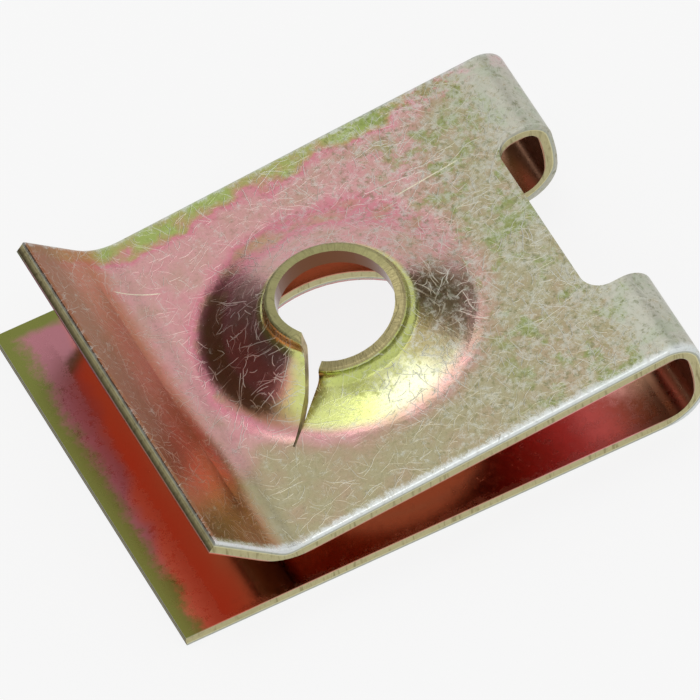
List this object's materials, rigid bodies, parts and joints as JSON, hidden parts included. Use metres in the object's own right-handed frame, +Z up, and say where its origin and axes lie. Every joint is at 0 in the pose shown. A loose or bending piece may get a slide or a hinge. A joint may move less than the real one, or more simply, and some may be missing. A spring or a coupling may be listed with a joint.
{
  "type": "u clip nut",
  "caption": "U-shaped sheet metal clip nut: folded spring steel strip with a clearance hole in one leg and a raised slit boss with a helical rim in the other",
  "frame": {"origin": "centre of the clearance hole, on the underside of the lower leg, which the clip rests on", "axes": "+X from the open end towards the bend, +Y across the strip, +Z up from the lower leg to the boss"},
  "size_m": [0.0199, 0.015, 0.0049],
  "materials": {
    "passivated_steel": "zinc plated spring steel with yellow iridescent passivation, finely scratched"
  },
  "bodies": {
    "root": {"clip": "passivated_steel"}
  },
  "joints": []
}
